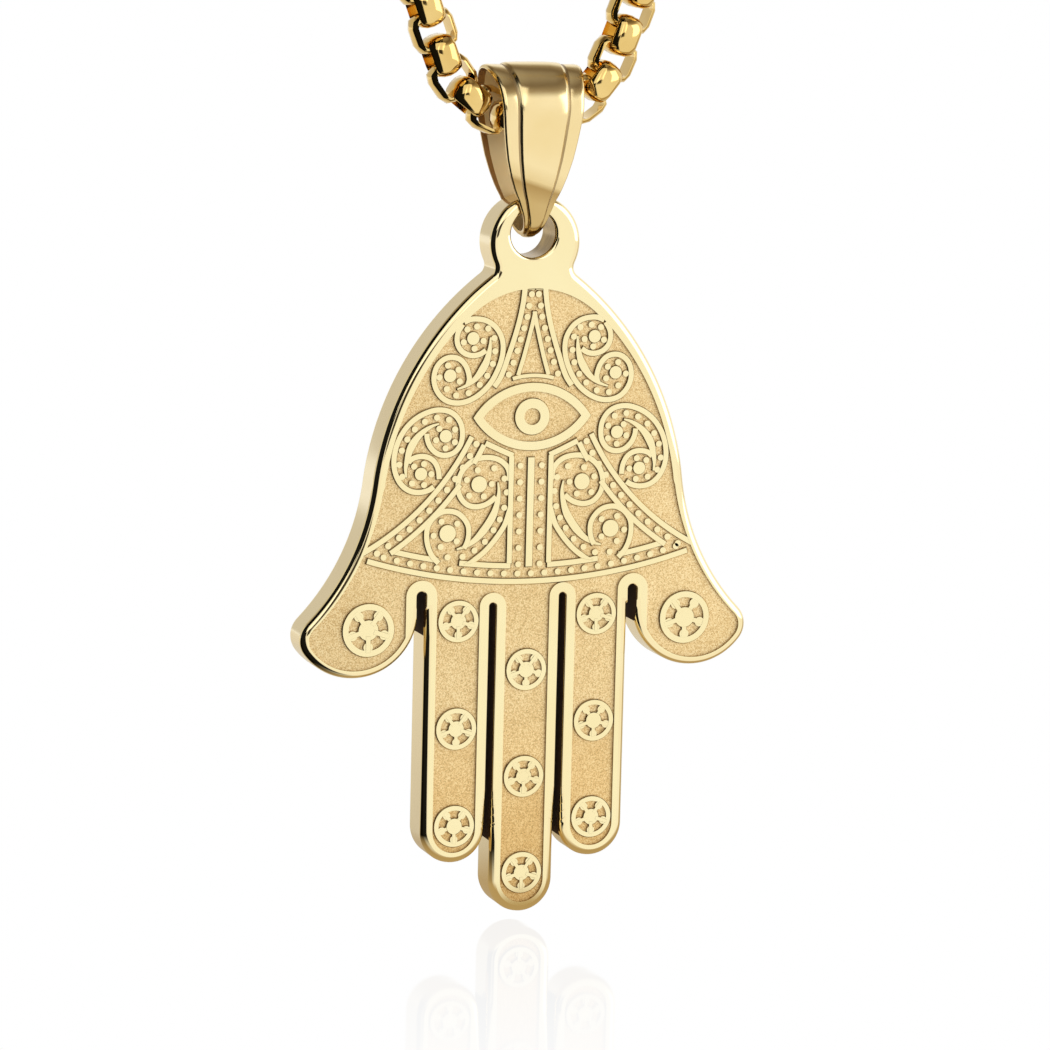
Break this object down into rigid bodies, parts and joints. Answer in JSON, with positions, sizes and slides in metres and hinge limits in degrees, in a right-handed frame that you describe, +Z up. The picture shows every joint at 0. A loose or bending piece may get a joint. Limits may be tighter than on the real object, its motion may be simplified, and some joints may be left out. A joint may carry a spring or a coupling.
{
  "type": "hamsa pendant on a chain",
  "caption": "Open-hand hamsa pendant plate with relief eye, scrolls and bead rows, on a folded strap bail and a closed loop of round box chain.",
  "frame": {"origin": "top of the chain's loop, at the middle of its hidden back, where the neck carries it", "axes": "+Z up, -Y toward the viewer and the plate's decorated face, X across the hand; the loop hangs in the XZ plane"},
  "size_m": [0.1159, 0.0064, 0.2618],
  "materials": {
    "plate_metal": "polished, with a sandy sunk ground",
    "bail_metal": "polished",
    "chain_metal": "polished",
    "clasp_metal": "polished"
  },
  "bodies": {
    "chain": {"chain": "chain_metal", "clasp": "clasp_metal"},
    "bail": {"bail": "bail_metal"},
    "plate": {"hand_plate": "plate_metal"}
  },
  "joints": [
    {"name": "bail_swing", "type": "hinge", "parent": "chain", "child": "bail", "pos_m": [-0.0002, 0, -0.20463], "axis": [1, 0, 0], "range_deg": [-30, 30]},
    {"name": "plate_swing", "type": "hinge", "parent": "bail", "child": "plate", "pos_m": [-0.0002, 0, -0.21113], "axis": [1, 0, 0], "range_deg": [-30, 30]}
  ]
}
